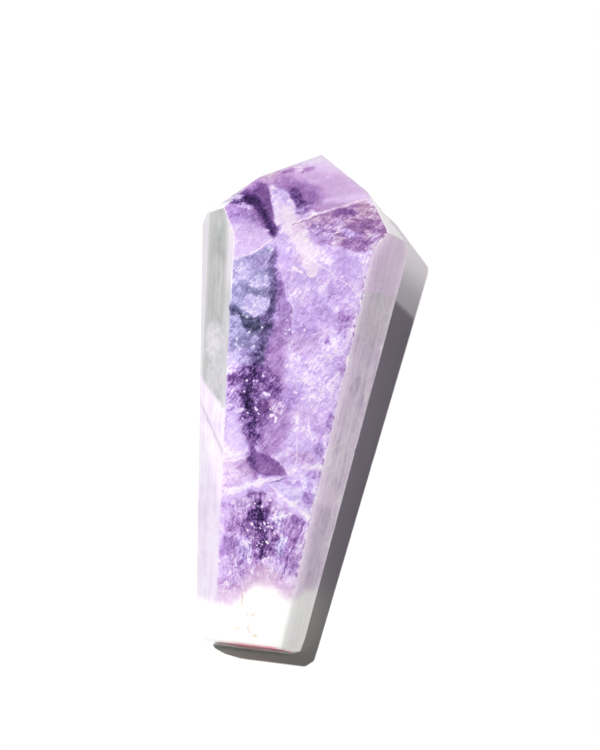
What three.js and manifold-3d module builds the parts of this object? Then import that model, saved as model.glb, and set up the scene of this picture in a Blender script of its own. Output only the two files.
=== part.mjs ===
// A polished amethyst point: one crystal, cut to a tapered six-sided shaft under a six-sided
// tip, with a flat sawn base. It is modelled in millimetres, lying on its back facet with +Z up
// and its tip towards +Y, and its origin is under the middle of its bounding box.
import * as THREE from "three";
import { mergeVertices } from "three/addons/utils/BufferGeometryUtils.js";
import Module from "manifold-3d";

const wasm = await Module();
wasm.setup();

// The stone is cut standing on its base: its axis is the local +Z, from the middle of the base,
// and its front looks along the local -Y. A facet's turn is measured round the axis from the
// front, positive towards +X, in degrees.

// Shaft facets. reach is how far the facet stands from the axis at the base, and flare is how
// many degrees it leans outwards on its way up.
const FRONT = { turn: 0, reach: 5.45, flare: 3.3 };
const RIGHT = { turn: 60, reach: 7.3, flare: 6.8 };
const LEFT = { turn: -60, reach: 7.4, flare: 5.7 };
const LOWER_RIGHT = { ...RIGHT, turn: 120 };
const LOWER_LEFT = { ...LEFT, turn: -120 };
const BACK = { ...FRONT, turn: 180 };
const SHAFT = [FRONT, RIGHT, LOWER_RIGHT, BACK, LOWER_LEFT, LEFT];

// Tip facets. slope is the angle between the facet and the axis, and peak is the height at
// which the facet would meet the axis. No two facets of a hand-cut tip are quite alike.
const TIP = [
  { turn: 0, slope: 31, peak: 79.6 },
  { turn: 61, slope: 38.2, peak: 88.1 },
  { turn: 118, slope: 42.9, peak: 83.5 },
  { turn: 180, slope: 31, peak: 84.6 },
  { turn: -127, slope: 44, peak: 80.9 },
  { turn: -62, slope: 43.6, peak: 84.3 },
];

// The base's rim is bevelled all round. Its two sharp corners are worn back further, the right
// one round, by two cuts, and the left one to a slope. A cut starts this far in from the corner,
// along the base, and meets the edge this far up it.
const RIM_BEVEL = { inset: 0.35, rise: 0.35 };
const CORNERS = [
  { turn: 90, reach: 8.5, inset: 0.4, rise: 1.6 },
  { turn: 90, reach: 8.5, inset: 1.5, rise: 0.5 },
  { turn: -90, reach: 8.6, inset: 1.8, rise: 3.5 },
];

// The polish takes the sharpness off every edge between two facets, to this depth.
const EASED = 0.06;

// Nicks along the edges, where the polish has flaked: which two facets the edge lies between,
// its height above the base, and the nick's length along the edge, depth and width.
const NICKS = [
  { edge: [FRONT, RIGHT], height: 57.2, size: [1.5, 0.3, 0.75] },
  { edge: [FRONT, RIGHT], height: 54.9, size: [2.1, 0.38, 0.9] },
  { edge: [FRONT, RIGHT], height: 50.6, size: [1.2, 0.24, 0.6] },
  { edge: [FRONT, RIGHT], height: 46.4, size: [1.6, 0.26, 0.7] },
  { edge: [FRONT, RIGHT], height: 24.3, size: [1.1, 0.22, 0.55] },
  { edge: [FRONT, LEFT], height: 52.8, size: [1.3, 0.3, 0.7] },
  { edge: [FRONT, LEFT], height: 45.1, size: [0.9, 0.2, 0.5] },
  { edge: [RIGHT, LOWER_RIGHT], height: 33.5, size: [1.4, 0.3, 0.7] },
  { edge: [LEFT, LOWER_LEFT], height: 61.0, size: [1.2, 0.26, 0.6] },
  { edge: [BACK, LOWER_LEFT], height: 28.7, size: [1.7, 0.32, 0.8] },
  { edge: [BACK, LOWER_RIGHT], height: 49.2, size: [1.3, 0.28, 0.7] },
];
const NICK_DETAIL = 1;

// The rough is a block larger than the stone, and the saw a block larger than the rough.
const ROUGH = { width: 44, height: 92 };
const SAW = 300;

// The polished stone's own colour, for a plain view.
const AMETHYST = { color: 0xb79ad3, roughness: 0.12, metalness: 0 };

const AXIS = new THREE.Vector3(0, 0, 1);

// The direction that a turn points in, square to the axis.
function outward(turn) {
  const angle = THREE.MathUtils.degToRad(turn);
  return new THREE.Vector3(Math.sin(angle), -Math.cos(angle), 0);
}

// The plane whose outward normal leans up from a turn's direction by tilt degrees, through a
// point at the given distance from the axis and height above the base.
function plane(turn, tilt, distance, height) {
  const angle = THREE.MathUtils.degToRad(tilt);
  const out = outward(turn);
  const normal = out.clone().multiplyScalar(Math.cos(angle)).addScaledVector(AXIS, Math.sin(angle));
  const point = out.multiplyScalar(distance).addScaledVector(AXIS, height);
  return new THREE.Plane().setFromNormalAndCoplanarPoint(normal, point);
}

const shaftPlane = ({ turn, reach, flare }) => plane(turn, -flare, reach, 0);
const tipPlane = ({ turn, slope, peak }) => plane(turn, slope, 0, peak);

// The bevel plane under a side of the base that stands at the given reach from the axis.
function bevelPlane({ turn, reach }, { inset, rise }) {
  const tilt = THREE.MathUtils.radToDeg(Math.atan2(inset, rise));
  return plane(turn, -tilt, reach - inset, 0);
}

// A closed surface as a solid that can be joined and cut.
function solid(geometry, matrix) {
  const bare = geometry.clone().applyMatrix4(matrix);
  bare.deleteAttribute("normal");
  bare.deleteAttribute("uv");
  const merged = mergeVertices(bare, 1e-4);
  if (!merged.index) throw new Error("the geometry has no shared vertices");
  return new wasm.Manifold(
    new wasm.Mesh({
      numProp: 3,
      vertProperties: new Float32Array(merged.attributes.position.array),
      triVerts: new Uint32Array(merged.index.array),
    }),
  );
}

// One pass of the saw: everything on the plane's outer side is taken off the stone.
function sawn(stone, cut) {
  const turned = new THREE.Quaternion().setFromUnitVectors(AXIS, cut.normal);
  const middle = cut.normal.clone().multiplyScalar(SAW / 2 - cut.constant);
  const matrix = new THREE.Matrix4().compose(middle, turned, new THREE.Vector3(1, 1, 1));
  return stone.subtract(solid(new THREE.BoxGeometry(SAW, SAW, SAW), matrix));
}

// The plane that takes the sharpness off the edge where two facets meet.
function easedPlane(first, second) {
  const normal = first.normal.clone().add(second.normal);
  const length = normal.length();
  const constant = (first.constant + second.constant) / length + EASED;
  return new THREE.Plane(normal.divideScalar(length), constant);
}

// The point where an edge between two shaft facets is at a height, and the edge's direction.
function edgeAt([first, second], height) {
  const [a, b] = [shaftPlane(first), shaftPlane(second)];
  const along = a.normal.clone().cross(b.normal).normalize();
  if (along.z < 0) along.negate();
  const level = new THREE.Plane(AXIS, -height);
  const point = b.normal.clone().cross(level.normal).multiplyScalar(-a.constant);
  point.add(level.normal.clone().cross(a.normal).multiplyScalar(-b.constant));
  point.add(a.normal.clone().cross(b.normal).multiplyScalar(-level.constant));
  point.divideScalar(a.normal.dot(b.normal.clone().cross(level.normal)));
  const out = a.normal.clone().add(b.normal).normalize();
  return { point, along, out };
}

// A flake lost from an edge, as the shallow, many-faced lens that is cut out there.
function nick({ edge, height, size }) {
  const { point, along, out } = edgeAt(edge, height);
  const across = along.clone().cross(out).normalize();
  const turned = new THREE.Matrix4().makeBasis(along, out, across);
  const matrix = turned.setPosition(point);
  matrix.scale(new THREE.Vector3(size[0] / 2, size[1], size[2] / 2));
  return solid(new THREE.IcosahedronGeometry(1, NICK_DETAIL), matrix);
}

// Every pass of the saw, in order: the shaft, the tip, the edges between them and the base.
function cuts() {
  const shaft = SHAFT.map(shaftPlane);
  const tip = TIP.map(tipPlane);
  const next = (planes, i) => planes[(i + 1) % planes.length];
  return [
    ...shaft,
    ...tip,
    ...shaft.map((facet, i) => easedPlane(facet, next(shaft, i))),
    ...tip.map((facet, i) => easedPlane(facet, next(tip, i))),
    ...shaft.map((facet, i) => easedPlane(facet, tip[i])),
    ...SHAFT.map((facet) => bevelPlane(facet, RIM_BEVEL)),
    ...CORNERS.map((corner) => bevelPlane(corner, corner)),
  ];
}

function cutStone() {
  const lifted = new THREE.Matrix4().makeTranslation(0, 0, ROUGH.height / 2);
  const rough = solid(new THREE.BoxGeometry(ROUGH.width, ROUGH.width, ROUGH.height), lifted);
  const stone = cuts().reduce(sawn, rough);
  return NICKS.reduce((left, flake) => left.subtract(nick(flake)), stone);
}

// The solid as a flat-shaded geometry, as its facets are.
function faceted(stone) {
  const { vertProperties, triVerts, numProp } = stone.getMesh();
  const position = new Float32Array(triVerts.length * 3);
  triVerts.forEach((vertex, i) => {
    position.set(vertProperties.subarray(vertex * numProp, vertex * numProp + 3), i * 3);
  });
  const geometry = new THREE.BufferGeometry();
  geometry.setAttribute("position", new THREE.BufferAttribute(position, 3));
  geometry.computeVertexNormals();
  return geometry;
}

const point = new THREE.Mesh(faceted(cutStone()), new THREE.MeshStandardMaterial(AMETHYST));
point.name = "amethyst_point";

// Laid down on its back facet, which the shaft's flare leaves leaning from the axis.
const laid = new THREE.Group();
laid.rotation.x = -THREE.MathUtils.degToRad(90 - BACK.flare);
laid.add(point);

// Moved so that the origin is on the surface, under the middle of the bounding box.
const stoneOnSurface = new THREE.Group();
stoneOnSurface.add(laid);
stoneOnSurface.updateMatrixWorld(true);
const bounds = new THREE.Box3().setFromObject(laid, true);
const middle = bounds.getCenter(new THREE.Vector3());
laid.position.set(-middle.x, -middle.y, -bounds.min.z);

export default stoneOnSurface;
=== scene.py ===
"""The looks of a polished amethyst point, which lies on a plain white surface."""
import math

import bmesh
import bpy
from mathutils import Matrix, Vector

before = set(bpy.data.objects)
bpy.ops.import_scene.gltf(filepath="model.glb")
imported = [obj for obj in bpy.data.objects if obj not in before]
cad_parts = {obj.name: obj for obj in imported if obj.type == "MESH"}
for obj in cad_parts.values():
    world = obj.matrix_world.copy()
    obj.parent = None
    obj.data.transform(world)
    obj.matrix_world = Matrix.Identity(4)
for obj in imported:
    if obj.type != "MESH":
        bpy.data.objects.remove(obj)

scene = bpy.context.scene
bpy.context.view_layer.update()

# The camera looks down on the front facet, from a little towards the base and to the right.
# Lengths are in metres, and the values that are given in mm are turned into them.
MM = 0.001
CAMERA_AZIMUTH = math.radians(7.2)
CAMERA_ELEVATION = math.radians(78)
CAMERA_DISTANCE = 500 * MM
CAMERA_TARGET = Vector((1.96, 4.0, 8.0)) * MM
CAMERA_LENS = 148.5
CAMERA_SENSOR = 36
CAMERA_CLIP = 10 * MM


def direction(azimuth, elevation):
    """The way out from the stone: azimuth 0 is towards -Y, and 90 degrees towards +X."""
    level = math.cos(elevation)
    return Vector((math.sin(azimuth) * level, -math.cos(azimuth) * level, math.sin(elevation)))


away = direction(CAMERA_AZIMUTH, CAMERA_ELEVATION)
camera = bpy.data.objects.new("camera", bpy.data.cameras.new("camera"))
camera.data.lens = CAMERA_LENS
camera.data.sensor_width = CAMERA_SENSOR
camera.data.clip_start = CAMERA_CLIP
camera.location = CAMERA_TARGET + away * CAMERA_DISTANCE
camera.rotation_euler = away.to_track_quat("Z", "Y").to_euler()
scene.collection.objects.link(camera)
scene.camera = camera

# A small bright lamp stands high on the left and throws the stone's shadow to the right. A pale
# wall on the right throws a little of its light back. The room around is an even white, which is
# bright to look at and lights the stone only softly.
KEY_AZIMUTH = math.radians(-104)
KEY_ELEVATION = math.radians(68)
KEY_STRENGTH = 4.2
KEY_ANGLE = math.radians(1.6)
WALL_AZIMUTH = math.radians(65)
WALL_ELEVATION = math.radians(14)
WALL_STRENGTH = 0.47
WALL_COLOUR = (1.0, 0.97, 0.9)
WALL_ANGLE = math.radians(30)
ROOM_COLOUR = (1.0, 0.96, 0.9)
ROOM_LIGHT = 0.03
ROOM_SEEN = (1.0, 1.0, 1.0)

scene.view_settings.view_transform = "Standard"


def lamp(name, azimuth, elevation, strength, angle, colour=(1, 1, 1)):
    """Light from far away, with edges to its shadows as soft as its angle is wide."""
    sun = bpy.data.lights.new(name, "SUN")
    sun.energy = strength
    sun.angle = angle
    sun.color = colour
    placed = bpy.data.objects.new(name, sun)
    placed.rotation_euler = direction(azimuth, elevation).to_track_quat("Z", "Y").to_euler()
    scene.collection.objects.link(placed)


lamp("key", KEY_AZIMUTH, KEY_ELEVATION, KEY_STRENGTH, KEY_ANGLE)
lamp("wall", WALL_AZIMUTH, WALL_ELEVATION, WALL_STRENGTH, WALL_ANGLE, WALL_COLOUR)

scene.world = bpy.data.worlds.new("room")
scene.world.use_nodes = True
room = scene.world.node_tree
room_light = room.nodes["Background"]
room_light.inputs["Color"].default_value = (*ROOM_COLOUR, 1)
room_light.inputs["Strength"].default_value = ROOM_LIGHT
room_seen = room.nodes.new("ShaderNodeBackground")
room_seen.inputs["Color"].default_value = (*ROOM_SEEN, 1)
ray = room.nodes.new("ShaderNodeLightPath")
seen_or_not = room.nodes.new("ShaderNodeMixShader")
room.links.new(ray.outputs["Is Camera Ray"], seen_or_not.inputs[0])
room.links.new(room_light.outputs[0], seen_or_not.inputs[1])
room.links.new(room_seen.outputs[0], seen_or_not.inputs[2])
room.links.new(seen_or_not.outputs[0], room.nodes["World Output"].inputs["Surface"])

# The surface under the stone is a wide sheet of plain matt white.
FLOOR_WIDTH = 6.0
FLOOR_WHITE = (0.79, 0.79, 0.782)
FLOOR_ROUGHNESS = 0.9

sheet = bmesh.new()
bmesh.ops.create_grid(sheet, x_segments=1, y_segments=1, size=FLOOR_WIDTH / 2)
floor_mesh = bpy.data.meshes.new("floor")
sheet.to_mesh(floor_mesh)
sheet.free()
floor = bpy.data.objects.new("floor", floor_mesh)
scene.collection.objects.link(floor)
floor_look = bpy.data.materials.new("matt_white")
floor_look.use_nodes = True
floor_shader = floor_look.node_tree.nodes["Principled BSDF"]
floor_shader.inputs["Base Color"].default_value = (*FLOOR_WHITE, 1)
floor_shader.inputs["Roughness"].default_value = FLOOR_ROUGHNESS
floor_mesh.materials.append(floor_look)

# The stone is one crystal of amethyst, on a root of white quartz. Dark growth zones, healed
# fractures and fine veils lie in it. It was cut and polished on flat laps, so its facets shine,
# and show its inside. Places are in mm: across is X, and along is Y, from the root to the tip.
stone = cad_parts["amethyst_point"]

# The main facets are larger than this. Eased edges and nicks are smaller.
MAIN_FACET_AREA = 20 * MM * MM

# A facet's own look is full down to the first of these depths, in mm, and ends at the second.
SKIN_FULL = 0.05
SKIN_END = 0.14


class Flow:
    """A socket of the material. Arithmetic on it adds Math nodes."""

    def __init__(self, socket):
        self.socket = socket

    def to(self, kind, inputs, output=0, points=(), bend="AUTO_CLAMPED", stops=(), **settings):
        """Adds a node of a kind, with its settings, its curve's points or its ramp's stops, and
        its inputs, and gives one of its outputs."""
        node = self.socket.id_data.nodes.new("ShaderNode" + kind)
        for name, value in settings.items():
            setattr(node, name, value)
        if points:
            node.mapping.use_clip = False
            node.mapping.extend = "HORIZONTAL"
            line = node.mapping.curves[0].points
            while len(line) < len(points):
                line.new(0, 0)
            for knot, location in zip(line, sorted(points)):
                knot.location = location
                knot.handle_type = bend
            node.mapping.update()
        if stops:
            steps = node.color_ramp.elements
            while len(steps) < len(stops):
                steps.new(1)
            for step, (position, colour) in zip(steps, stops):
                step.position = position
                step.color = colour
        for name, value in inputs.items():
            if isinstance(value, Flow):
                node.id_data.links.new(value.socket, node.inputs[name])
            else:
                node.inputs[name].default_value = value
        return Flow(node.outputs[output])

    def also(self, output):
        """Another output of the node that gives this one."""
        return Flow(self.socket.node.outputs[output])

    def maths(self, operation, first, second=0.0):
        return self.to("Math", {0: first, 1: second}, operation=operation)

    def vector(self, operation, first, second=(0, 0, 0), output=0):
        return self.to("VectorMath", {0: first, 1: second}, output, operation=operation)

    def __add__(self, other):
        return self.maths("ADD", self, other)

    def __sub__(self, other):
        return self.maths("SUBTRACT", self, other)

    def __mul__(self, other):
        return self.maths("MULTIPLY", self, other)

    def __truediv__(self, other):
        return self.maths("DIVIDE", self, other)

    def __rsub__(self, other):
        return self.maths("SUBTRACT", other, self)

    def __abs__(self):
        return self.maths("ABSOLUTE", self)

    __radd__ = __add__
    __rmul__ = __mul__

    def least(self, other):
        return self.maths("MINIMUM", self, other)

    def most(self, other):
        return self.maths("MAXIMUM", self, other)

    def ease(self, low, high, start=0.0, end=1.0):
        """Turns smoothly from start, where this is low, to end, where it is high."""
        inputs = {0: self, 1: low, 2: high, 3: start, 4: end}
        return self.to("MapRange", inputs, interpolation_type="SMOOTHSTEP", clamp=False)

    def toward(self, value, share):
        """This number, moved towards another by a share."""
        return self.to("Mix", {0: share, 2: self, 3: value}, data_type="FLOAT")

    def tinted(self, colour, share):
        """This colour, with a share of another laid over it."""
        return self.to("Mix", {0: share, 6: self, 7: colour}, 2, data_type="RGBA")

    def shades(self, *stops):
        """The colour that stands at this number, on a scale from 0 to 1."""
        return self.to("ValToRGB", {"Fac": self}, stops=stops)


look = bpy.data.materials.new("amethyst")
look.use_nodes = True
tree = look.node_tree
clear_quartz = tree.nodes["Principled BSDF"]
object_place = Flow(tree.nodes.new("ShaderNodeTexCoord").outputs["Object"])
place = object_place.vector("MULTIPLY", object_place, (1 / MM,) * 3)


def depth_under(*towards):
    """How deep a place lies under the main facet that faces most nearly this way."""
    faces = [face for face in stone.data.polygons if face.area > MAIN_FACET_AREA]
    facet = max(faces, key=lambda face: face.normal.dot(Vector(towards)))
    height = facet.center.dot(facet.normal) / MM
    return height - place.vector("DOT_PRODUCT", place, tuple(facet.normal), output=1)


def skin(under):
    """1 on a facet, and 0 deeper in the stone."""
    return under.ease(SKIN_END, SKIN_FULL)


under_front = depth_under(0, -0.1, 1)
under_tip_front = depth_under(0, 0.465, 0.885)
under_left = depth_under(-0.862, -0.128, 0.491)
under_right = depth_under(0.86, -0.147, 0.489)
under_base = depth_under(0, -1, -0.058)
depth = under_front.least(under_tip_front)
front = skin(depth)
left_side = skin(under_left)
right_side = skin(under_right)
lower_left = skin(depth_under(-0.862, -0.071, -0.502))
lower_right = skin(depth_under(0.86, -0.09, -0.502))
tip_left = skin(depth_under(-0.64, 0.69, 0.38))
tip_right = skin(depth_under(0.687, 0.595, 0.416))


def noise(where, scale, detail=2.0, roughness=0.5, output=0, distortion=0.0):
    """Random cloud, with waves about 1/scale mm long."""
    inputs = {"Vector": where, "Scale": scale, "Detail": detail, "Roughness": roughness}
    inputs["Distortion"] = distortion
    return where.to("TexNoise", inputs, output)


def swing(pattern, amount):
    """A pattern as a number that swings evenly about nought."""
    return (pattern - 0.5) * (2 * amount)


def drawn_out(where, turn, across, along):
    """The place as a pattern needs it whose waves run in one direction, turned from X."""
    inputs = {
        "Vector": where,
        "Rotation": (0, 0, math.radians(turn)),
        "Scale": (along, across, 1),
    }
    return where.to("Mapping", inputs, vector_type="TEXTURE")


def shaken(where, scale, distance, detail=2.0):
    """The place moved by up to about a distance, so that an edge drawn on it is uneven."""
    push = noise(where, scale, detail, output=1)
    push = push.vector("SUBTRACT", push, (0.5, 0.5, 0.5))
    push = push.vector("MULTIPLY", push, (2 * distance,) * 3)
    return where.vector("ADD", where, push)


def apart(where):
    """A place's numbers across and along."""
    across = where.to("SeparateXYZ", {0: where})
    return across, across.also(1)


# What lies deeper in the stone leans to one side, so the back isn't the front's double. Places
# are shaken gently, to gx and gy, for clean edges, and roughly, to rx and ry, for ragged ones.
LEAN_ACROSS = 0.3
LEAN_ALONG = -0.24

lean = depth.to("CombineXYZ", {0: depth * LEAN_ACROSS, 1: depth * LEAN_ALONG})
inside = place.vector("ADD", place, lean)
gentle = shaken(inside, 0.3, 0.5)
rough = shaken(gentle, 1.6, 0.3, 3.0)
gx, gy = apart(gentle)
rx, ry = apart(rough)
cloud = noise(inside, 0.3, 3.0)
torn = noise(inside, 0.8, 4.0, 0.6)
swirl = noise(gentle, 0.55, 3.0, 0.55, distortion=1.4)

# A band's sides close this far past its end points and their soft edge, in mm.
BAND_END = 0.2


def band(run, across, soft, *points, bend="AUTO_CLAMPED", rags=0.0):
    """1 in a band, and 0 outside it. Each point of it gives how far on its run that is, where
    its middle is across, and how far its two sides are from there."""
    ends = [min(points)[0] - soft - BAND_END, max(points)[0] + soft + BAND_END]
    middles = [(far, middle) for far, middle, side in points]
    sides = [(far, side) for far, middle, side in points] + [(end, -soft) for end in ends]
    middle = run.to("FloatCurve", {"Value": run}, points=middles, bend=bend)
    side = run.to("FloatCurve", {"Value": run}, points=sides, bend="VECTOR")
    beyond = abs(across - middle) - side
    if rags:
        beyond = beyond + swing(torn, rags)
    return beyond.ease(soft, -soft)


def spot(where, across, along, length, width, turn=0.0, soft=0.6, rags=0.9):
    """1 in an oval spot, and 0 outside it. Its length is turned this many degrees from X."""
    cosine, sine = math.cos(math.radians(turn)), math.sin(math.radians(turn))
    off = where.vector("SUBTRACT", where, (across, along, 0))
    lengthwise = off.vector("DOT_PRODUCT", off, (cosine * 2 / length, sine * 2 / length, 0), 1)
    widthwise = off.vector("DOT_PRODUCT", off, (-sine * 2 / width, cosine * 2 / width, 0), 1)
    beyond = lengthwise * lengthwise + widthwise * widthwise
    if rags:
        beyond = beyond + swing(torn, 2 * rags)
    return beyond.ease((1 + soft) ** 2, max(1 - soft, 0) ** 2)


# The zones of the front and the tip. Each has its lightness, from 0, a violet near black, to 1,
# white, how busy it is with specks and clouds, and its warmth, from -1, slate, over 0, violet,
# and 1, pink, to 2, a brownish rose.
GROUND_LIGHTNESS = 0.825
GROUND_WARMTH = 0.12


class Zones:
    """The zones of the crystal, each laid over those before it."""

    def __init__(self, ground):
        self.laid = ground

    def lay(self, share, lightness, busyness=0.6, warmth=0.0):
        """Lays a zone over the others, where share is 1."""
        inputs = {0: share, 4: self.laid, 5: (lightness, busyness, warmth)}
        self.laid = self.laid.to("Mix", inputs, 1, data_type="VECTOR")


zones = Zones(cloud.to("CombineXYZ", {
    0: swing(cloud, 0.16) + GROUND_LIGHTNESS,
    1: cloud.ease(0.3, 0.7, 0.4, 0.75),
    2: swing(noise(place, 0.22), 1.0) + GROUND_WARMTH,
}))
zone = zones.lay

# The shaft's blue-grey side, left of the dark growth zone
zone(band(ry, rx, 0.9, (22, -6.6, 2.2), (20, -7.5, 3.4), (12, -7.5, 4.2), (2, -7.5, 4), rags=0.6),
     0.7, 0.9, -0.9)
above_slate = band(rx, ry, 0.15, (-13, 21.6, 2.6), (-8, 22.9, 2.5), (-5.5, 24.2, 1.8),
                   (-4.2, 25, 1.6))
zone(above_slate, 0.86, 0.35, 0.2)
zone(spot(rough, -6.0, 19.5, 4.2, 2.2, 25), 0.66, 0.9, -0.5)
zone(spot(rough, -9.0, 18.0, 3.6, 2.6), 0.78, 0.7, -0.6)
zone(spot(rough, -9.4, 13.2, 2.2, 2.4), 0.68, 0.7, -0.9)
zone(spot(rough, -6.4, 14.9, 4.4, 1.2, -8), 0.56, 0.9, -0.9)
zone(spot(rough, -7.0, 6.6, 2.6, 2.2, 40), 0.5, 1.0, -0.8)
zone(spot(rough, -9.4, 6.0, 0.8, 2.0), 0.56, 0.8, -0.8)
zone(spot(rough, -8.9, 2.6, 2.6, 2.8, 30), 0.88, 0.7, -0.3)
zone(spot(rough, -7.0, 4.4, 3.6, 2.0, -20), 0.72, 0.9, -0.5)
zone(band(rx, ry, 0.12, (-9.9, 16.1, 0.2), (-9.3, 16.6, 0.5), (-8.6, 16.9, 0.4), (-8.1, 16.6, 0.1),
          rags=0.3), 0.84, 0.6, -0.6)
zone(band(rx, ry, 0.2, (-7.4, 15.6, 0.1), (-6.4, 16.2, 0.7), (-5.2, 16.6, 0.9), (-4.6, 16.4, 0.3),
          rags=0.5), 0.82, 0.8, -0.6)
zone(spot(rough, -4.4, 10.3, 1.3, 2.6), 0.5, 0.5, -0.4)

# The shaft's paler, rosier right side
zone(band(gy, gx, 0.14, (27.3, -1.4, 1.0), (25.8, -1.7, 2.2), (24.8, -1.0, 2.1), (23, 0.2, 1.6),
          (21.8, 0.8, 1.4), (20, 1.6, 1.2), (18.4, 1.9, 0.9), (18, 1.8, 0.5), bend="VECTOR"),
     0.9, 0.35, 0.9)
zone(spot(gentle, 1.3, 21.6, 1.4, 3.4, -60, rags=0.3), 0.93, 0.3, 0.9)
zone(spot(gentle, -0.8, 19.0, 2.6, 0.5, -24, rags=0.3), 0.95, 0.3, 0.8)
zone(spot(rough, -2.6, 20.6, 2.0, 4.0, 10), 0.78, 0.4, 0.0)
zone(band(gy, gx, 1.1, (15.5, -2.2, 0.1), (12, -1.6, 0.8), (9, -1.6, 1.2), (6, -2.0, 1.6),
          (3, -2.2, 1.8), (0, -1.6, 2.1), (-4, -1.2, 2.8), (-8, -1.2, 2.6), (-10.5, -1.4, 1.4)),
     0.6, 0.5, 0.45)
zone(band(gy, gx, 0.12, (16.8, -2.7, 0.4), (14.6, -2.2, 0.8), (13, -1.5, 1.1), (11, -1.2, 1.1),
          (8.5, -0.9, 1.1)), 0.61, 0.5, 0.15)
zone(spot(gentle, 2.3, 7.1, 3.6, 2.2, soft=0.9), 0.74, 0.5, 0.5)
zone(spot(gentle, 4.0, 8.9, 3.0, 1.6, 10), 0.72, 0.6, 0.3)
zone(spot(gentle, 2.1, 10.6, 3.0, 3.4, 20), 0.68, 0.5, 0.0)
zone(spot(gentle, 4.4, 12.4, 3.4, 2.6, -30), 0.72, 0.6)
zone(spot(rough, 8.1, 11.9, 1.9, 3.0, 0, 0.9), 0.6, 0.8, 0.2)
zone(spot(rough, 7.4, 20.2, 2.8, 2.4, 0, 0.9), 0.75, 0.5)
zone(spot(rough, 6.4, 17.0, 2.4, 2.0, -20, 0.9), 0.75, 0.7)
zone(spot(rough, 6.0, 14.8, 1.6, 2.4, -10, 0.9), 0.75, 0.8)
zone(spot(rough, 5.9, 8.2, 0.9, 1.2), 0.5, 1.0)
zone(spot(rough, 8.4, 3.2, 1.2, 3.6, soft=0.8), 0.66, 1.0)
zone(spot(gentle, 4.4, 2.0, 7.0, 6.0), 0.87, 0.8)
zone(spot(gentle, 6.4, 5.6, 4.4, 3.0, 40), 0.87, 0.7)
zone(spot(rough, 0.9, -1.4, 2.2, 3.0, soft=0.9), 0.66, 0.6)
zone(spot(rough, -8.2, -6.0, 1.6, 3.0, soft=0.9), 0.74, 0.9)
zone(band(gy, gx, 0.8, (-5, -7.8, 0.8), (-8, -7.2, 1.4), (-11.8, -6.8, 1.8)), 0.88, 0.3, 0.0)
zone(spot(rough, -8.2, -1.2, 2.4, 4.4, soft=0.9), 0.76, 1.2, -0.1)
zone(spot(gentle, 6.3, -5.4, 3.4, 5.4, 10, 0.35), 0.76, 0.6, 0.2)
zone(spot(rough, 7.7, -4.4, 0.8, 2.4), 0.55, 0.8)
zone(spot(rough, 6.8, -9.1, 1.8, 2.3, 15, 0.6), 0.64, 0.7, -0.2)
zone(spot(rough, 4.0, -10.6, 2.4, 1.8, soft=0.9), 0.72, 0.6, 0.6)
zone(band(gx, gy, 0.3, (-8.8, -15.2, 2.2), (-6, -14.4, 2.2), (-3.8, -13.4, 1.6), bend="VECTOR"),
     0.82, 0.5, 0.7)
zone(spot(gentle, -4.2, -13.1, 2.4, 2.0, -40), 0.7, 0.4, 0.8)
zone(band(gx, gy, 0.4, (0, -15.2, 0.5), (2.5, -15.6, 2), (6.8, -15.8, 3.6), bend="VECTOR"),
     0.86, 0.6, -0.3)
zone(spot(rough, 3.0, -14.5, 3.0, 1.2, -15), 0.72, 0.8)
zone(spot(rough, 5.9, -16.6, 1.4, 2.4, soft=0.9), 0.62, 1.0)
zone(spot(rough, 6.2, -13.2, 1.6, 1.2), 0.66, 0.8)

# The shaft's lower end, where the violet breaks up into streaks above the white root
lower = band(rx, ry, 0.3, (-8.8, -26.9, 7), (-4, -25.3, 7.8), (-1.6, -24.3, 8), (1, -25.1, 7),
             (6.6, -26, 5), bend="VECTOR")
zone(lower, 0.71, 1.05, 0.45)
zone(band(gy, gx, 0.8, (-20, -6.8, 1), (-24, -6.8, 1), (-31, -6.2, 1)), 0.8, 0.5, 0.3)
zone(spot(rough, -3.2, -22.2, 4.4, 2.6, 10, 0.8), 0.54, 0.8, 0.5)
zone(spot(rough, -5.0, -25.4, 2.8, 1.6, 0, 0.8), 0.62, 1.0, 0.2)
zone(spot(rough, -6.7, -26.4, 1.4, 2.2), 0.64, 0.5, 0.2)
zone(band(ry, rx, 0.5, (-20.3, 4.3, 1.4), (-22, 4.4, 1.2), (-24, 4, 0.8), (-27, 3.4, 0.3),
          rags=0.6), 0.56, 0.8, 0.4)
zone(band(ry, rx, 0.25, (-21, 6.7, 0.6), (-24.2, 5.7, 0.9), (-27, 5, 1.1), (-31, 4.6, 1.3)),
     0.76, 0.7, 0.4)
zone(spot(rough, 2.6, -24.8, 1.8, 4.0), 0.72, 1.3, -0.5)
zone(spot(rough, -3.0, -26.0, 2.4, 3.0, 30), 0.74, 1.3, -0.3)
zone(spot(rough, 0.9, -23.6, 1.8, 1.4), 0.32, 1.0, 1.0)
zone(spot(rough, 2.4, -28.6, 2.8, 2.0), 0.78, 0.9)
zone(spot(rough, 4.4, -27, 1.6, 3.4, 12), 0.58, 0.9, 0.4)
zone(spot(rough, 0.2, -28.9, 2.0, 1.6), 0.66, 0.8, 1.2)

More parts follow.
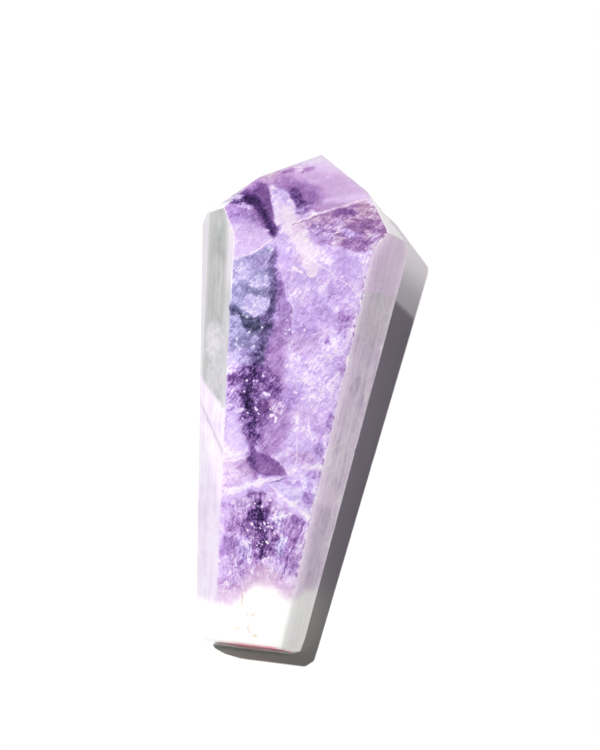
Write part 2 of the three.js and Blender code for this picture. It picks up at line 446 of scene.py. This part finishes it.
# The tip
zone(band(gx, gy, 0.5, (-8, 34.4, 2), (-3, 35.8, 2.2), (0, 35.2, 3.4), (5, 34.2, 3.6),
          (9, 33.4, 2)), 0.74, 0.12, 0.9)
zone(spot(gentle, 1.2, 40.4, 6.6, 4.0, -8, 1.0), 0.87, 0.1, 0.5)
zone(spot(gentle, -2.6, 37.3, 2.0, 0.8, 25), 0.92, 0.2, 0.6)
zone(spot(gentle, -4.2, 36.5, 2.8, 0.8, 28), 0.52, 0.5, 0.8)
zone(spot(gentle, -0.8, 37.6, 1.4, 0.7, 20), 0.58, 0.3, 0.8)
zone(spot(gentle, -7.2, 35.5, 2.8, 1.2, 25), 0.68, 0.9, 1.6)
zone(spot(gentle, -9.8, 33.8, 2.4, 3.4, -12), 0.6, 0.4, 0.5)
zone(spot(gentle, -4.6, 34.8, 3.4, 1.8, 20, 0.9), 0.64, 0.4, 0.9)
zone(band(rx, ry, 1.1, (-12.2, 31.2, 0.7), (-10, 31.3, 0.9), (-8, 31.5, 1.6), (-6.6, 30.8, 2.2)),
     0.34, 0.4, 0.3)
zone(spot(gentle, -1.0, 32.5, 6.0, 3.4, -18, 0.9), 0.5, 0.3, 0.5)
zone(spot(rough, -1.7, 31.4, 3.6, 1.5, -52, 0.9), 0.27, 0.9, 0.2)
zone(spot(rough, 0.7, 30.6, 3.0, 1.2, 12, 0.8), 0.38, 1.2, 0.2)
zone(spot(rough, -1.3, 29.2, 1.6, 1.2, 20), 0.5, 0.9, -0.4)
zone(spot(gentle, 2.8, 31.2, 4.0, 2.0, 25, 0.8), 0.66, 0.3, 0.8)
zone(band(gx, gy, 0.9, (2.6, 31.9, 0.3), (6, 32.9, 0.6), (9.6, 33.9, 0.3)), 0.86, 0.15, 0.6)
zone(band(rx, ry, 0.2, (-14, 27.2, 1.4), (-9.5, 26.6, 2), (-7, 25.6, 1.9)), 0.6, 0.6, 0.1)
zone(spot(gentle, -9.8, 23.9, 7.0, 3.2, -6, 0.9), 0.82, 0.4, 0.3)
zone(spot(rough, -8.3, 27.6, 1.6, 2.0, 0, 0.8), 0.54, 0.5, 0.1)
rosy_zone = band(rx, ry, 0.4, (1.2, 26.4, 0.6), (2.2, 26.2, 2.0), (4, 26.9, 3.2), (7, 27.6, 4.2),
                 (10, 27.8, 4.6), (13, 27, 3))
zone(rosy_zone, 0.6, 0.9, 1.3)
zone(spot(rough, 2.6, 28.2, 6.0, 1.8, 27), 0.7, 0.8, 1.3)
zone(spot(rough, 2.8, 25.6, 3.6, 3.8, 70), 0.7, 0.9, 0.3)
zone(spot(rough, 5.9, 30.3, 3.8, 1.8, 25, 0.8), 0.46, 0.7, 0.9)
zone(spot(rough, 8.9, 31.2, 2.0, 1.7, 0, 0.8), 0.66, 0.7, 1.6)
zone(spot(rough, 8.6, 27.6, 3.4, 2.0, 20, 0.9), 0.44, 0.7, 1.2)
zone(spot(rough, 11.6, 28.2, 2.4, 3.4, 0, 0.9), 0.56, 0.7, 1.2)
zone(spot(rough, 5.2, 27.7, 1.6, 2.2, 20, 0.7), 0.74, 0.9, 0.6)
zone(spot(rough, 7.6, 25.9, 2.8, 1.3, -12, 0.8, rags=1.2), 0.76, 0.9, 0.0)
zone(spot(rough, 11.0, 25.4, 1.0, 2.6, -20, 0.7), 0.76, 0.7, 0.4)
zone(spot(rough, 8.6, 24.2, 3.2, 1.8, 5, 0.9), 0.5, 0.8, 0.9)

# The dark growth zone, which runs down the middle
fine = noise(inside, 2.6, 3.0, 0.7)
worn = torn.ease(0.3, 0.5, 0.6, 1.0)
pitted = noise(rough, 1.5, 3.0, 0.7).ease(0.38, 0.5, 0.15, 1.0)
zone(band(ry, rx, 0.6, (33.6, -8.1, 0.7), (31, -7.2, 1.0), (29, -6.0, 1.1), (27, -5.1, 0.9),
          (25, -4.5, 0.5), rags=0.4), 0.34, 0.4, 0.6)
zone(band(rx, ry, 0.5, (-11.9, 30.7, 0.2), (-10.6, 30.3, 0.7), (-9.3, 30.2, 1.0), (-8, 29.6, 1.2),
          rags=0.4), 0.12, 0.7, 0.1)
zone(band(rx, ry, 0.4, (-13.6, 29.0, 0.2), (-12, 29.7, 0.9), (-10.8, 29.9, 0.9), rags=0.5),
     0.4, 1.3, -0.1)
zone(spot(rough, -11.6, 30.4, 1.8, 0.7, 20, 0.4), 0.74, 1.4, -0.4)
zone(band(ry, rx, 0.8, (31, -8.8, 0.4), (29.5, -8.0, 0.8), (28, -7.1, 0.8), (26.5, -6.2, 0.9),
          (25.5, -5.7, 0.8), (24.4, -5.1, 0.6), (23.6, -4.8, 0.1), rags=0.3), 0.09, 0.6, 0.2)
zone(spot(rough, -6.2, 24.8, 1.2, 0.5, 20, 0.4), 0.85, 0.6, 0.2)
zone(band(ry, rx, 1.1, (21.5, -4.2, 0.1), (19, -4.2, 0.3), (17, -3.8, 0.5), (15, -3.7, 0.7),
          (12.5, -3.7, 0.7), (10, -4.2, 1.0), (7, -4.4, 1.0), (3, -4.8, 1.0), rags=1.0) * worn,
     0.2, 1.0, -0.5)
zone(band(rx, ry, 1.2, (-9, 0.4, 0.8), (-6, 1.2, 1.6), (-3, 0.2, 1.8), (-1, -0.6, 1.4), rags=1.4),
     0.43, 1.2, 0.3)
zone(band(ry, rx, 1.2, (2, -4.6, 2), (0, -5, 2.8), (-3, -4.6, 2.8), (-6, -4.2, 2.2), (-9, -3.8, 1),
          rags=1.6), 0.43, 1.2, 0.15)
zone(band(ry, rx, 1.0, (3, -5, 0.7), (0, -5.7, 1.1), (-2, -5.5, 1.2), (-4.5, -4.9, 0.8),
          (-6, -4.8, 0.8), (-8, -4.4, 0.2), rags=1.8) * pitted, 0.1, 1.1, -0.1)
zone(spot(rough, -2.7, -3.2, 2.0, 1.8), 0.3, 0.8, 1.0)
zone(spot(rough, -0.7, -3.1, 2.4, 1.5, -20), 0.8, 1.3, 0.6)
zone(spot(rough, -6.9, -4.3, 1.9, 0.7, 15, 0.4, rags=1.4), 0.97, 0.8)
zone(spot(rough, -2.9, -1.2, 1.5, 0.6, -20, 0.3, rags=1.6), 1.0, 0.6)
zone(spot(rough, -1.5, -4.6, 1.0, 0.5, 20, 0.3, rags=1.6), 1.0, 0.6)
zone(spot(rough, -0.75, -5.1, 0.5, 1.2, 0, 0.3, rags=1.6), 1.0, 0.6)
zone(band(ry, rx, 1.2, (-17.2, -1.8, 0.2), (-20, -1.4, 1.7), (-22, -1.2, 2.2), (-24, -0.6, 1.8),
          (-26.4, -0.3, 1), rags=1.8), 0.42, 1.3, 0.3)
zone(band(ry, rx, 0.8, (-18.9, -1.8, 0.1), (-20, -1.6, 0.8), (-22, -1.5, 0.8), (-24, -0.6, 0.8),
          (-25.6, -0.2, 0.7), (-27, -0.6, 0.1), rags=1.8) * pitted, 0.04, 1.2, 0.1)
zone(spot(rough, -3.0, -17.4, 1.4, 1.4), 0.56, 1.2, 0.2)
zone(spot(rough, 1.7, -20.4, 1.4, 2.4), 0.82, 1.6, -0.4)

# Slate patches beside the dark growth zone
zone(band(rx, ry, 0.5, (-10.6, 11.4, 0.6), (-8.4, 10.8, 0.6), (-7.6, 9.6, 1.1), (-5.4, 9.4, 1.2),
          rags=0.8) * worn, 0.18, 0.9, -0.9)
zone(band(rx, ry, 0.12, (-8, 13, 1.3), (-7, 12.6, 1.6), (-6.2, 12.2, 1.7), (-5.4, 12.6, 1.4),
          (-4.2, 13, 0.9), bend="VECTOR", rags=0.4), 0.82, 0.7, -0.5)

# Tents and veils
zone(band(gx, gy, 0.3, (-4.6, -11.5, 0.6), (-3, -12, 1.6), (-1, -12.7, 1.5), (1, -13.0, 0.7),
          (2.2, -13.4, 0.1), bend="VECTOR", rags=0.6), 0.46, 0.6, 0.5)
zone(spot(gentle, -3.5, -11.8, 1.3, 3.2, 15, 0.8), 0.3, 0.8, 0.1)
zone(spot(gentle, -1.8, -11.4, 3.2, 0.9, -14, 0.8), 0.38, 0.5, 0.4)
zone(spot(gentle, -3.0, -14.3, 0.8, 1.8, 30, 0.9), 0.55, 0.6, 0.5)
zone(band(rx, ry, 1.0, (-9, -11.9, 1.0), (-6.5, -11.1, 0.6), (-4.8, -10.6, 0.1), rags=0.8),
     0.98, 0.4, 0.2)
zone(band(rx, ry, 0.12, (-8.6, -13, 0.1), (-6.5, -12.3, 0.15), (-5, -11.6, 0.1), (-4.3, -11.2, 0)),
     1.0, 0.4, 0.2)
zone(band(rx, ry, 0.45, (-9, -18.2, 0.8), (-6, -17, 0.5), (-4, -16.1, 0.5), (-2.4, -15.2, 0.6),
          (-1.2, -15, 0.3), (1, -14.2, 0.0), rags=1.4), 0.97, 0.9, 0.2)
zone(band(rx, ry, 0.4, (-0.4, -15.4, 0.1), (1, -16.6, 0.2), (3, -17.9, 0.3), (5, -18.9, 0.4),
          (6.8, -20.4, 0.4), rags=0.6), 0.98, 0.6, 0.3)
zone(band(rx, ry, 0.7, (2.4, -13.1, 0.1), (5, -12, 0.2), (8.4, -11.2, 0.4), rags=0.8),
     0.98, 0.6, 0.5)
zone(band(rx, ry, 0.12, (-0.4, -15.2, 0.05), (0.8, -14.6, 0.1), (2, -14, 0.1), (2.8, -13.6, 0.05)),
     0.45, 0.6, -0.6)

# The white petal and the long healed fractures
zone(band(ry, rx, 0.2, (33.5, -6.4, 0.3), (32.9, -5.9, 0.9), (32, -4.9, 1.6), (30.7, -4.3, 1.9),
          (29, -3.9, 1.75), (27.7, -4.1, 1.0), (26.6, -4.4, 0.45), (25.8, -4.4, 0.1), rags=0.3),
     0.87, 0.6, 0.2)
zone(spot(gentle, -4.6, 32.0, 1.8, 1.6, -15, 0.9), 0.78, 0.7, -0.3)
zone(spot(gentle, -3.4, 27.9, 2.6, 2.6, -30, 0.9), 0.93, 0.3, 0.8)
zone(band(gy, gx, 0.3, (32.6, -6.4, 0.0), (30, -5.3, 0.1), (28, -4.3, 0.1), (26.6, -3.4, 0.1)),
     0.92, 0.5, 0.4)
zone(band(rx, ry, 0.1, (-2, 26.6, 0.05), (0, 27.7, 0.1), (2, 28.8, 0.05), (6, 30.9, 0.05)),
     0.35, 0.6, 1.4)
zone(band(gx, gy, 0.25, (10, 33.4, 0.2), (6.5, 31.8, 0.15), (3, 29.9, 0.15), (0, 28.1, 0.15),
          (-2, 26.9, 0.1), rags=0.2), 0.92, 0.6, 1.3)
zone(band(gx, gy, 0.12, (-3.6, 24, 0.0), (-5.5, 22.8, 0.05), (-6.6, 21.8, 0.1), (-8.5, 20.4, 0.1),
          (-12, 19, 0.05), rags=0.1), 1.0, 0.3, 0.4)
zone(band(gx, gy, 0.12, (-3.2, 23.6, 0.0), (0, 22.1, 0.05), (2.5, 20.6, 0.1), (5, 19.1, 0.05),
          (8, 17.4, 0.05), (10.4, 15.8, 0.05), rags=0.1), 0.98, 0.3, 0.8)
zone(band(gy, gx, 0.1, (22.6, -4.1, 0.0), (17.4, -2.5, 0.03), (14.5, -1.4, 0.06), (13, -0.4, 0.06),
          (10.5, -0.1, 0.05), (8, 0.2, 0.0), rags=0.05), 0.98, 0.3)
zone(band(gx, gy, 0.1, (1.5, 8, 0.0), (3, 8.7, 0.05), (5, 9.5, 0.05), (8, 10.3, 0.0)), 0.9, 0.4)
zone(band(gy, gx, 0.2, (-2.2, 2.4, 0.0), (-5, 2.8, 0.1), (-12, 3.2, 0.1), rags=0.3), 0.95, 0.6, 0.4)
zone(band(gy, gx, 0.15, (-3.8, 4.3, 0.0), (-6, 4.7, 0.1), (-8, 5.6, 0.05), rags=0.2),
     0.98, 0.4, 0.4)
zone(band(ry, rx, 0.14, (-21, 5.9, 0.05), (-24.2, 4.8, 0.1), (-27, 3.8, 0.08), (-29.8, 3.2, 0.1)),
     0.3, 0.6)

# Specks, clouds, growth blocks and streaks, which swing the lightness of the zones. The streaks
# above the root fan out from a point far below it.
FAN_ACROSS = -0.5
FAN_ALONG = -52
FAN_REACH = 70

tone, busy = apart(zones.laid)
warmth = tone.also(2)
frost = noise(drawn_out(rough, 58, 0.2, 1.5), 1.0, 3.0, 0.65)
fan_across = (rx - FAN_ACROSS) / (ry - FAN_ALONG) * FAN_REACH
fan = noise(rx.to("CombineXYZ", {0: fan_across, 1: ry * 0.45}), 1.0, 4.0, 0.65)
blocks = rough.to("TexVoronoi", {"Vector": drawn_out(rough, 20, 0.8, 1.2), "Scale": 1.0}, 1)
block = blocks.to("SeparateColor", {0: blocks})
wisps = abs(noise(drawn_out(gentle, 55, 1.3, 3.0), 1.0, 2.0) - 0.5).ease(0.04, 0.0)
wisps = wisps * noise(gentle, 0.45).ease(0.45, 0.58)
light_flecks = noise(rough, 2.4, 3.0, 0.7).ease(0.54, 0.66)
dark_flecks = noise(rough, 1.7, 3.0, 0.7).ease(0.56, 0.68)
above_lower = ry.ease(-12, -16, 1, 0)
texture = (
    swing(torn, 0.2) + swing(fine, 0.3) + swing(block, 0.09) + swing(swirl, 0.18)
    + swing(block, 0.1) * rosy_zone + wisps * 0.16 + light_flecks * 0.1 - dark_flecks * 0.14
    + swing(frost, 0.5) * above_lower + swing(fan, 0.6) * lower
)
tone = tone + texture * busy

# The front's long edges: a painted highlight along the left one, and on the right chipped to white
# and dark
EDGE_DARK = 0.42

wander = swing(noise(rough, 1.3, 2.0), 1.2)
left_edge_highlight = (under_left + wander * 0.1).ease(0.36, 0.18) * gy.ease(11, 14, 0.15, 1)
tone = tone.toward(1.0, left_edge_highlight * 0.9)
right_edge = (under_right + wander * 0.25).ease(0.5, 0.25)
chips = noise(drawn_out(rough, 94, 0.5, 1.2), 1.0, 2.0, 0.6)
tone = tone.toward(1.0, right_edge * chips.ease(0.52, 0.6))
tone = tone.toward(EDGE_DARK, right_edge * chips.ease(0.46, 0.38) * 0.7)

# Painted sparkles, white glints where a fracture catches the light, more of them where glitter is
# higher
cells = rough.to("TexVoronoi", {"Vector": rough, "Scale": 1.6})
luck = cells.to("SeparateColor", {0: cells.also("Color")})
glitter = band(ry, rx, 1.5, (10, -3.6, 0.6), (1, -4.4, 1.6), (-4, -3.6, 3.0), (-8, -5, 1)) * 0.26
glitter = glitter.most(spot(gentle, 0.2, 9, 2.8, 5, 10) * 0.5)
glitter = glitter.most(spot(gentle, -0.8, -22.6, 6.5, 9) * 0.42)
glitter = glitter.most(spot(gentle, -12.0, 30, 2.0, 1.4) * 0.6)
glitter = glitter.most(spot(gentle, -7, 7, 5, 12) * 0.12).most(0.022)
sparkle = (cells + swing(fine, 0.7)).ease(0.36, 0.22) * (glitter - luck).ease(0, 0.02)
tone = tone.toward(1.0, sparkle)

# The root, whose top is uneven, under a pinkish haze
HAZE_LIGHTNESS = 0.81
HAZE_WARMTH = 1.25

root_top = rx.to("FloatCurve", {"Value": rx}, points=[
    (-13, -37), (-9, -35.6), (-6, -35), (-3.4, -34.4), (-1.8, -32.4), (0, -31.4), (2, -31.4),
    (4, -32.8), (6, -33), (8, -31.6)])
above_root = ry - root_top + swing(fan, 1.2)
tone = tone.toward(HAZE_LIGHTNESS, (above_root + swing(fan, 4.0)).ease(4.5, 0.5) * 0.8)
warmth = warmth.toward(HAZE_WARMTH, above_root.ease(4.5, 1))
root = above_root.ease(1.3, -1.1)

# The hues of the zones, each from its near black to its near white. A colour is given as it is
# seen, in screen values from 0 to 255, with how bright the light on it is.
FRONT_LIGHT = 1.13
HUE_STEPS = (0.0, 0.25, 0.5, 0.7, 0.85, 1.0)


def shade(red, green, blue, light):
    """The base colour that looks like a 0 to 255 screen colour under that much light."""
    linear = [((part / 255 + 0.055) / 1.055) ** 2.4 for part in (red, green, blue)]
    return (*[min(part / light, 0.95) for part in linear], 1)


def hue(number, steps, light, *colours):
    """The colours, as they look under that much light, at their steps of a number's scale."""
    return number.shades(*[(step, shade(*colour, light)) for step, colour in zip(steps, colours)])


violet = hue(tone, HUE_STEPS, FRONT_LIGHT, (46, 34, 70), (102, 70, 136), (160, 119, 188),
             (202, 172, 232), (226, 203, 250), (252, 242, 255))
slate = hue(tone, HUE_STEPS, FRONT_LIGHT, (56, 56, 82), (95, 96, 131), (143, 141, 184),
            (178, 176, 220), (210, 204, 242), (248, 246, 255))
pink = hue(tone, HUE_STEPS, FRONT_LIGHT, (64, 38, 86), (114, 74, 142), (168, 122, 184),
           (206, 170, 216), (236, 212, 242), (255, 249, 254))
rose = hue(tone, HUE_STEPS, FRONT_LIGHT, (76, 46, 82), (120, 78, 122), (166, 124, 158),
           (202, 168, 190), (232, 208, 222), (255, 247, 246))
body = violet.tinted(slate, 0 - warmth).tinted(pink, warmth).tinted(rose, warmth - 1)

# The root is white quartz, with a few rusty flecks and cracks
QUARTZ_WHITE = (0.93, 0.925, 0.91, 1)
RUST = (0.60, 0.46, 0.34, 1)

rust = noise(rough, 1.1, 2.0).ease(0.62, 0.72) * 0.5 * spot(gentle, -0.6, -35.5, 5, 9, soft=0.9)
rust = rust.most(band(ry, rx, 0.15, (-32, -2.9, 0.05), (-33.4, -2.3, 0.1), (-34.6, -2.1, 0.05)))
rust = rust.most(band(ry, rx, 0.15, (-37, -0.3, 0.05), (-38, -1, 0.05), (-38.8, -0.5, 0.1)))
rust = rust.most(spot(rough, 0.4, -39.2, 1.0, 0.5) * 0.6)
body = body.tinted(rust.shades((0.0, QUARTZ_WHITE), (1.0, RUST)), root)

# The side facets are seen aslant, and the greyer shade seen through them is painted into their
# colour. Fine streaks run down them. Places on them are given along the shaft and down from the
# front.
haze = noise(gentle, 0.16, 2.0)
down = under_front + swing(haze, 0.8)
aslant = gy.to("CombineXYZ", {0: gy, 1: down})
grain = down.to("CombineXYZ", {0: down * 1.9, 1: gy * 0.07, 2: gx * 0.03})
streaks = noise(grain, 1.0, 2.0, 0.45)
veins = noise(inside, 0.42, 3.0, 0.55, distortion=1.2)
aside = swing(streaks, 0.42) + swing(veins, 0.3) + swing(haze, 0.5) + 0.5
seams = abs(noise(gentle, 0.12, 1.0) - 0.5).ease(0.01, 0.0)
seams = seams * noise(inside, 0.3).ease(0.46, 0.6)

# The left facet is glassy above, painted grey there for the shade seen through it, with a painted
# highlight as a pale rim by the front and two clouds, and milky below an edge that slants. A grey
# sheet and a darker foot slant in the milky part.
SIDE_STEPS = (0.2, 0.5, 0.8)
GLASS_DEPTHS = shade(216, 217, 216, 1.5)
GLASS_RIM_HIGHLIGHT = shade(244, 238, 248, 1.4)
CLOUD_WHITE = shade(240, 236, 246, 1.4)
SHEET_GREY = shade(196, 188, 206, 1.3)
FOOT_GREY = shade(208, 202, 216, 1.3)
LOWER_RIM = shade(248, 240, 252, 1.3)

# Painted shade seen through the glass, and a painted highlight along the rim by the front
glass_seen_shade = hue(aside, SIDE_STEPS, 1.5, (176, 179, 178), (194, 196, 195), (216, 216, 219))
glass_seen_shade = glass_seen_shade.tinted(GLASS_DEPTHS, under_front.ease(4, 7, 0, 0.7))
glass_seen_shade = glass_seen_shade.tinted(GLASS_RIM_HIGHLIGHT, under_front.ease(2.4, 0.6) * gy.ease(13, 18, 0.5, 0.9))
milky = hue(aside, SIDE_STEPS, 1.2, (222, 206, 236), (244, 228, 252), (254, 246, 255))
clouds = spot(aslant, 5.8, 3.8, 5.5, 4.6, 10).most(spot(aslant, 0.6, 3.4, 5, 4, -20) * 0.7)
above_milk = gy - down * 0.6 + 4.6 + swing(veins, 1.0)
from_sheet = abs(gy - down + 11 + 0.5)
above_foot = gy - down * 1.6 + 18
left_look = glass_seen_shade.tinted(CLOUD_WHITE, clouds * swirl.ease(0.3, 0.6, 0.5, 1))
left_look = left_look.tinted(milky, above_milk.ease(0.6, -0.6))
left_look = left_look.tinted(SHEET_GREY, from_sheet.ease(0.9, 0.1) * 0.5)
left_look = left_look.tinted(FOOT_GREY, above_foot.ease(1, -3) * 0.35)
left_look = left_look.tinted(LOWER_RIM, under_front.ease(6.6, 7.6, 0, 0.6))

# The right facet is mauve, with a smoky stretch under its pink shoulder, a pale patch and a
# dark one lower down, and three fractures that cross it.
MAUVE_RIM = (0.86, 0.74, 0.90, 1)
SMOKE = (0.67, 0.63, 0.66, 1)
SHOULDER_PINK = (0.82, 0.66, 0.84, 1)
PALE_PATCH = (0.90, 0.79, 0.91, 1)
DARK_PATCH = (0.50, 0.41, 0.56, 1)
FRACTURE_WHITE = (0.96, 0.93, 0.97, 1)

right_look = aside.shades(
    (0.2, (0.57, 0.46, 0.62, 1)), (0.5, (0.78, 0.67, 0.81, 1)), (0.8, (0.88, 0.80, 0.90, 1)))
right_look = right_look.tinted(MAUVE_RIM, under_front.ease(1.2, 0.3, 0, 0.6))
right_look = right_look.tinted(SMOKE, gy.ease(17.2, 16.2) * gy.ease(7, 11) * 0.5)
right_look = right_look.tinted(SHOULDER_PINK, gy.ease(16.3, 17.2, 0, 0.75))
right_look = right_look.tinted(PALE_PATCH, spot(aslant, -16.4, 2.4, 3.2, 6, 10) * 0.7)
right_look = right_look.tinted(DARK_PATCH, spot(aslant, -25.5, 3.4, 10, 3.6) * 0.45)
crossing = band(down, gy, 0.22, (0, -9.2, 0.08), (6.4, -5.8, 0.04))
crossing = crossing.most(band(down, gy, 0.22, (0, -11.8, 0.08), (6.4, -8.2, 0.04)))
crossing = crossing.most(band(down, gy, 0.12, (0, 16.0, 0.08), (3.6, 17.0, 0.04)))
right_look = right_look.tinted(FRACTURE_WHITE, crossing * 0.7)

# The lower facets show the zones through a greyer haze. The root is greyer too from the side, and
# the tip's two side facets are pale with painted highlights, white on the left and pinkish on the
# right.
SEAM_WHITE = (0.95, 0.93, 0.95, 1)
TIP_HIGHLIGHT_WHITE = shade(252, 248, 255, 1.3)
TIP_HIGHLIGHT_PINK = shade(240, 226, 244, 0.85)

lower_haze = hue(aside, SIDE_STEPS, 1.0, (142, 128, 158), (182, 170, 198), (220, 212, 232))
side_root = aside.shades((0.25, (0.86, 0.85, 0.84, 1)), (0.7, (0.965, 0.96, 0.95, 1)))
left_look = left_look.tinted(side_root, root)
right_look = right_look.tinted(side_root, root).tinted(body, 0.12)
lower_look = body.tinted(lower_haze, 0.6).tinted(side_root, root * 0.8)
body = body.tinted(left_look, left_side).tinted(right_look, right_side)
body = body.tinted(lower_look, lower_right.most(lower_left))
body = body.tinted(SEAM_WHITE, seams * 0.5 * (1 - front) * (1 - root.most(left_side)))
# Painted highlights on the tip's two side facets
body = body.tinted(TIP_HIGHLIGHT_WHITE, tip_left * gy.ease(30.2, 28.8))
body = body.tinted(TIP_HIGHLIGHT_PINK, tip_right)

# A soft rosy stain on the sawn base
STAIN_MIDDLE = (0.5, 0, 7.4)
STAIN_WIDTH = 12.8
STAIN_HEIGHT = 11.2
STAIN_FULL = 0.16
STAIN_END = 0.3

off_middle = place.vector("SUBTRACT", place, STAIN_MIDDLE)
stain = off_middle.vector("MULTIPLY", off_middle, (2 / STAIN_WIDTH, 0, 2 / STAIN_HEIGHT))
stain = stain.vector("LENGTH", stain, output=1) + swing(torn, 0.5)
rosy = swirl.shades((0.3, (0.88, 0.40, 0.48, 1)), (0.7, (0.82, 0.25, 0.33, 1)))
body = body.tinted(rosy, stain.ease(1.2, 0.5) * under_base.ease(STAIN_END, STAIN_FULL))

# Nearly all of the crystal is milky, and light spreads inside it. The front is also a little
# clear, most where it is least clouded. The tip lets some of the lamp's light through.
QUARTZ_IOR = 1.544
MILKY_ROUGHNESS = 0.08
SPREAD_SHARE = 0.8
SPREAD_DEPTH = 6 * MM
SPREAD_COLOURS = (1.0, 0.9, 1.1)
CLEAR_COLOUR = (0.93, 0.86, 0.97, 1)
CLEAR_ROUGHNESS = 0.02
LEAST_MILK = 0.88
MOST_MILK = 0.97
TIP_SLANT = (0.8, 1.0, 0.215)
PANE_COLOUR = (1.0, 0.98, 1.0, 1)

milky_quartz = body.to("BsdfPrincipled", {
    "Base Color": body, "Roughness": MILKY_ROUGHNESS, "IOR": QUARTZ_IOR,
    "Subsurface Weight": SPREAD_SHARE, "Subsurface Radius": SPREAD_COLOURS,
    "Subsurface Scale": SPREAD_DEPTH,
})
clear_quartz.inputs["Base Color"].default_value = CLEAR_COLOUR
clear_quartz.inputs["Roughness"].default_value = CLEAR_ROUGHNESS
clear_quartz.inputs["IOR"].default_value = QUARTZ_IOR
clear_quartz.inputs["Transmission Weight"].default_value = 1.0

milk = cloud.ease(0.3, 0.7, LEAST_MILK, MOST_MILK).toward(1.0, root.most(1 - front))
inner = body.to("MixShader", {0: milk, 1: Flow(clear_quartz.outputs[0]), 2: milky_quartz})
lamp_ray = Flow(tree.nodes.new("ShaderNodeLightPath").outputs["Is Shadow Ray"])
toward_tip = place.vector("DOT_PRODUCT", place, TIP_SLANT, 1)
thin = toward_tip.ease(31.5, 33.5, 0.0, 0.44) + toward_tip.ease(34, 43, 0.0, 0.26)
pane = body.to("BsdfTransparent", {"Color": PANE_COLOUR})
shown = body.to("MixShader", {0: lamp_ray * thin, 1: inner, 2: pane})
tree.links.new(shown.socket, tree.nodes["Material Output"].inputs["Surface"])
stone.data.materials.clear()
stone.data.materials.append(look)
